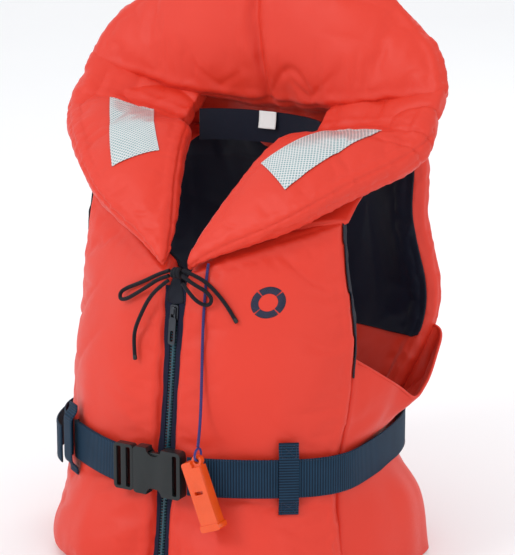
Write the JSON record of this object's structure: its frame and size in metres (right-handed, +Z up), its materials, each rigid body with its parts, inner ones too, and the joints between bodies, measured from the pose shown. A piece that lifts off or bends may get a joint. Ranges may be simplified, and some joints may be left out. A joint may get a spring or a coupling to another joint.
{
  "type": "foam life jacket",
  "caption": "Foam-filled life jacket with a padded head support and folded lapels, front zip, neck lace, buckled waist belt and a whistle on a cord.",
  "frame": {"origin": "on the floor under the middle of the jacket's box, the jacket standing on its hem", "axes": "+Z up from the hem to the head support, +X to the wearer's left, -Y to the front"},
  "size_m": [0.428, 0.342, 0.618],
  "materials": {
    "orange_nylon": "coated nylon, slight sheen",
    "dark_lining": "smooth dark nylon, glossy",
    "foam": "closed-cell buoyancy foam",
    "reflective_tape": "retroreflective fabric with a fine cell pattern",
    "label_cloth": "woven label",
    "zip_tape": "woven tape",
    "zip_plastic": "moulded",
    "zip_metal": "painted die-cast",
    "webbing": "ribbed webbing",
    "buckle_plastic": "satin moulded",
    "lace": "woven lace",
    "whistle_cord": "braided cord",
    "whistle_plastic": "gloss moulded"
  },
  "bodies": {
    "jacket": {"armhole_binding_left": "dark_lining", "armhole_binding_right": "dark_lining", "back_cover": "orange_nylon", "back_foam": "foam", "back_lining": "dark_lining", "belt_buckle_span": "webbing", "belt_loop_back": "webbing", "belt_loop_front_left": "webbing", "belt_loop_front_right": "webbing", "belt_tail": "webbing", "buckle_socket": "buckle_plastic", "front_cover_left": "orange_nylon", "front_cover_right": "orange_nylon", "front_foam_left": "foam", "front_foam_right": "foam", "front_lining_left": "dark_lining", "front_lining_right": "dark_lining", "lapel_cover_left": "orange_nylon", "lapel_cover_right": "orange_nylon", "lapel_foam_left": "foam", "lapel_foam_right": "foam", "neck_band": "orange_nylon", "reflective_patch_left": "reflective_tape", "reflective_patch_right": "reflective_tape", "shoulder_strap_left": "orange_nylon", "shoulder_strap_right": "orange_nylon", "side_gusset_left": "orange_nylon", "side_gusset_right": "orange_nylon", "size_label": "label_cloth", "tie_knot": "lace", "tie_loop_left": "lace", "tie_loop_right": "lace", "tie_tail_left": "lace", "tie_tail_right": "lace", "waist_belt": "webbing", "whistle_cord": "whistle_cord", "zip_bottom_box": "zip_plastic", "zip_tape_left": "zip_tape", "zip_tape_right": "zip_tape", "zip_teeth_left": "zip_plastic", "zip_teeth_right": "zip_plastic", "zip_top_stops": "zip_plastic", "zip_underflap": "dark_lining"},
    "collar": {"head_support_cover": "orange_nylon", "head_support_foam": "foam"},
    "buckle_plug_body": {"buckle_plug": "buckle_plastic"},
    "prong_upper_body": {"prong_upper": "buckle_plastic"},
    "prong_lower_body": {"prong_lower": "buckle_plastic"},
    "slider_body": {"zip_slider": "zip_metal"},
    "pull_body": {"zip_pull": "zip_metal"},
    "ring_body": {"whistle_ring": "whistle_cord"},
    "whistle_body": {"whistle": "whistle_plastic"}
  },
  "joints": [
    {"name": "collar_tilt", "type": "hinge", "parent": "jacket", "child": "collar", "pos_m": [0, 0.07377, 0.45], "axis": [1, 0, 0], "range_deg": [-20, 12], "stiffness_Nm_per_rad": 2},
    {"name": "buckle_release", "type": "slide", "parent": "jacket", "child": "buckle_plug_body", "axis": [-1, 0, 0], "range_m": [0, 0.04], "deforming": ["belt_buckle_span"]},
    {"name": "prong_squeeze_upper", "type": "hinge", "parent": "buckle_plug_body", "child": "prong_upper_body", "pos_m": [-0.0227, -0.15923, 0.1372], "axis": [0, 1, 0], "range_deg": [0, 6], "stiffness_Nm_per_rad": 0.2},
    {"name": "prong_squeeze_lower", "type": "hinge", "parent": "buckle_plug_body", "child": "prong_lower_body", "pos_m": [-0.0227, -0.15923, 0.1108], "axis": [0, 1, 0], "range_deg": [-6, 0], "stiffness_Nm_per_rad": 0.2},
    {"name": "zip_slide", "type": "slide", "parent": "jacket", "child": "slider_body", "axis": [0, -0.1231, -0.9924], "range_m": [0, 0.248]},
    {"name": "zip_pull_flip", "type": "hinge", "parent": "slider_body", "child": "pull_body", "pos_m": [0, -0.12126, 0.28278], "axis": [-1, 0, 0], "range_deg": [0, 120]},
    {"name": "whistle_swing", "type": "hinge", "parent": "jacket", "child": "ring_body", "pos_m": [0.05489, -0.16623, 0.15857], "axis": [0, -1, 0], "range_deg": [-15, 40]},
    {"name": "whistle_lift", "type": "hinge", "parent": "ring_body", "child": "whistle_body", "pos_m": [0.05489, -0.16623, 0.15257], "axis": [-1, 0, 0], "range_deg": [0, 90]}
  ],
  "couplings": [
    {"joint": "prong_squeeze_lower", "follows": "prong_squeeze_upper", "ratio": -1}
  ]
}
